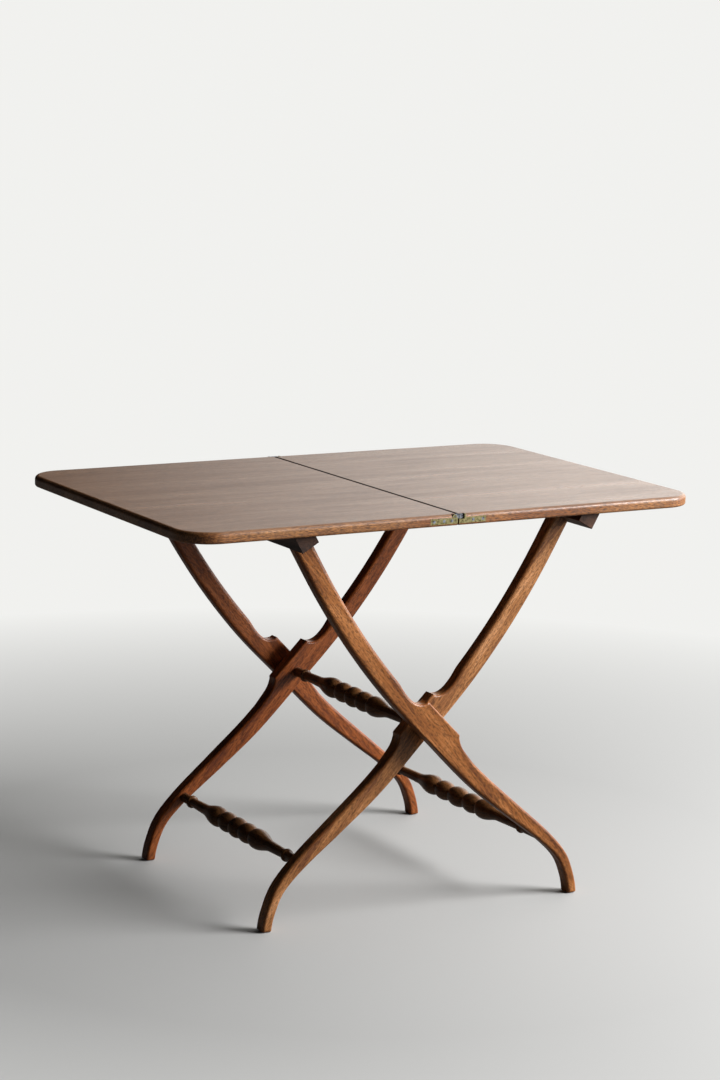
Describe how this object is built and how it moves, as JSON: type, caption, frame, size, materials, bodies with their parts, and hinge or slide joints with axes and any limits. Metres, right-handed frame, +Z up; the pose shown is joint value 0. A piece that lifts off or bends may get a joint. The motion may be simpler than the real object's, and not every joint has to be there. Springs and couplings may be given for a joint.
{
  "type": "folding coaching table",
  "caption": "Folding coaching table with two hinged leaves on crossed S-curved legs joined by turned stretchers.",
  "frame": {"origin": "on the floor, under the middle of the seam between the two leaves", "axes": "+X along the open top towards the right leaf, +Y across the table towards its rear, +Z up"},
  "size_m": [0.985, 0.634, 0.7],
  "materials": {
    "top_wood": "waxed, faded, grain along X",
    "leg_wood": "waxed mahogany",
    "turned_wood": "dark polished",
    "brass": "aged",
    "steel": "worn"
  },
  "bodies": {
    "outer_frame": {"outer_leg_front": "leg_wood", "outer_leg_rear": "leg_wood", "left_rail": "leg_wood", "outer_stretcher": "turned_wood", "butt_rail_plate_front": "brass", "butt_rail_plate_rear": "brass", "butt_pin_front": "steel", "butt_pin_rear": "steel", "butt_screws_rail": "steel"},
    "inner_frame": {"inner_leg_front": "leg_wood", "inner_leg_rear": "leg_wood", "right_rail": "leg_wood", "inner_stretcher": "turned_wood", "pivot_stretcher": "turned_wood", "pivot_collar_front": "turned_wood", "pivot_collar_rear": "turned_wood"},
    "left_top": {"left_leaf": "top_wood", "seam_plate_left_front": "brass", "seam_plate_left_rear": "brass", "seam_pins_left": "steel", "seam_screws_left": "steel", "butt_leaf_plate_front": "brass", "butt_leaf_plate_rear": "brass", "butt_screws_leaf": "steel"},
    "seam_links": {"seam_link_front": "steel", "seam_link_rear": "steel"},
    "right_top": {"right_leaf": "top_wood", "seam_plate_right_front": "brass", "seam_plate_right_rear": "brass", "seam_pins_right": "steel", "seam_screws_right": "steel", "stop_cleat_front": "leg_wood", "stop_cleat_rear": "leg_wood", "cleat_screws": "steel"}
  },
  "joints": [
    {"name": "frame_fold", "type": "hinge", "parent": "outer_frame", "child": "inner_frame", "pos_m": [0, 0, 0.31916], "axis": [0, -1, 0], "range_deg": [0, 70]},
    {"name": "top_swing", "type": "hinge", "parent": "outer_frame", "child": "left_top", "pos_m": [-0.29925, 0, 0.6774], "axis": [0, -1, 0], "range_deg": [0, 120]},
    {"name": "link_swing", "type": "hinge", "parent": "left_top", "child": "seam_links", "pos_m": [-0.0075, 0, 0.696], "axis": [0, -1, 0], "range_deg": [0, 90]},
    {"name": "leaf_fold", "type": "hinge", "parent": "seam_links", "child": "right_top", "pos_m": [0.0075, 0, 0.696], "axis": [0, -1, 0], "range_deg": [0, 90]}
  ],
  "couplings": [
    {"joint": "top_swing", "follows": "frame_fold", "ratio": 1.714}
  ]
}
